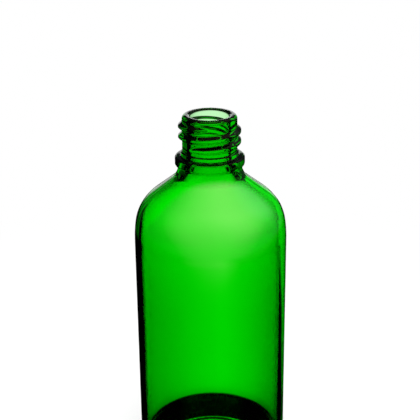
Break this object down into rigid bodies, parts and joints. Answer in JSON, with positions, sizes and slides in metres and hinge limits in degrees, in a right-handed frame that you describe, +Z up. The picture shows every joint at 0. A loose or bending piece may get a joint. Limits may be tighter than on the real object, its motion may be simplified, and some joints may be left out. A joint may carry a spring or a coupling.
{
  "type": "screw-neck oil bottle",
  "caption": "Round green glass oil bottle with a sloping shoulder, a rounded heel and an open screw neck above a bead, moulded in one piece.",
  "frame": {"origin": "centre of the standing ring, on the surface that the bottle stands on", "axes": "+Z up along the bottle's axis, out of the mouth; +X to the right and +Y away from the picture's viewer"},
  "size_m": [0.0444, 0.0444, 0.1122],
  "materials": {
    "green_glass": "clear bottle-green glass, fire-polished and glossy inside and out"
  },
  "bodies": {
    "root": {"glass_bottle": "green_glass"}
  },
  "joints": []
}
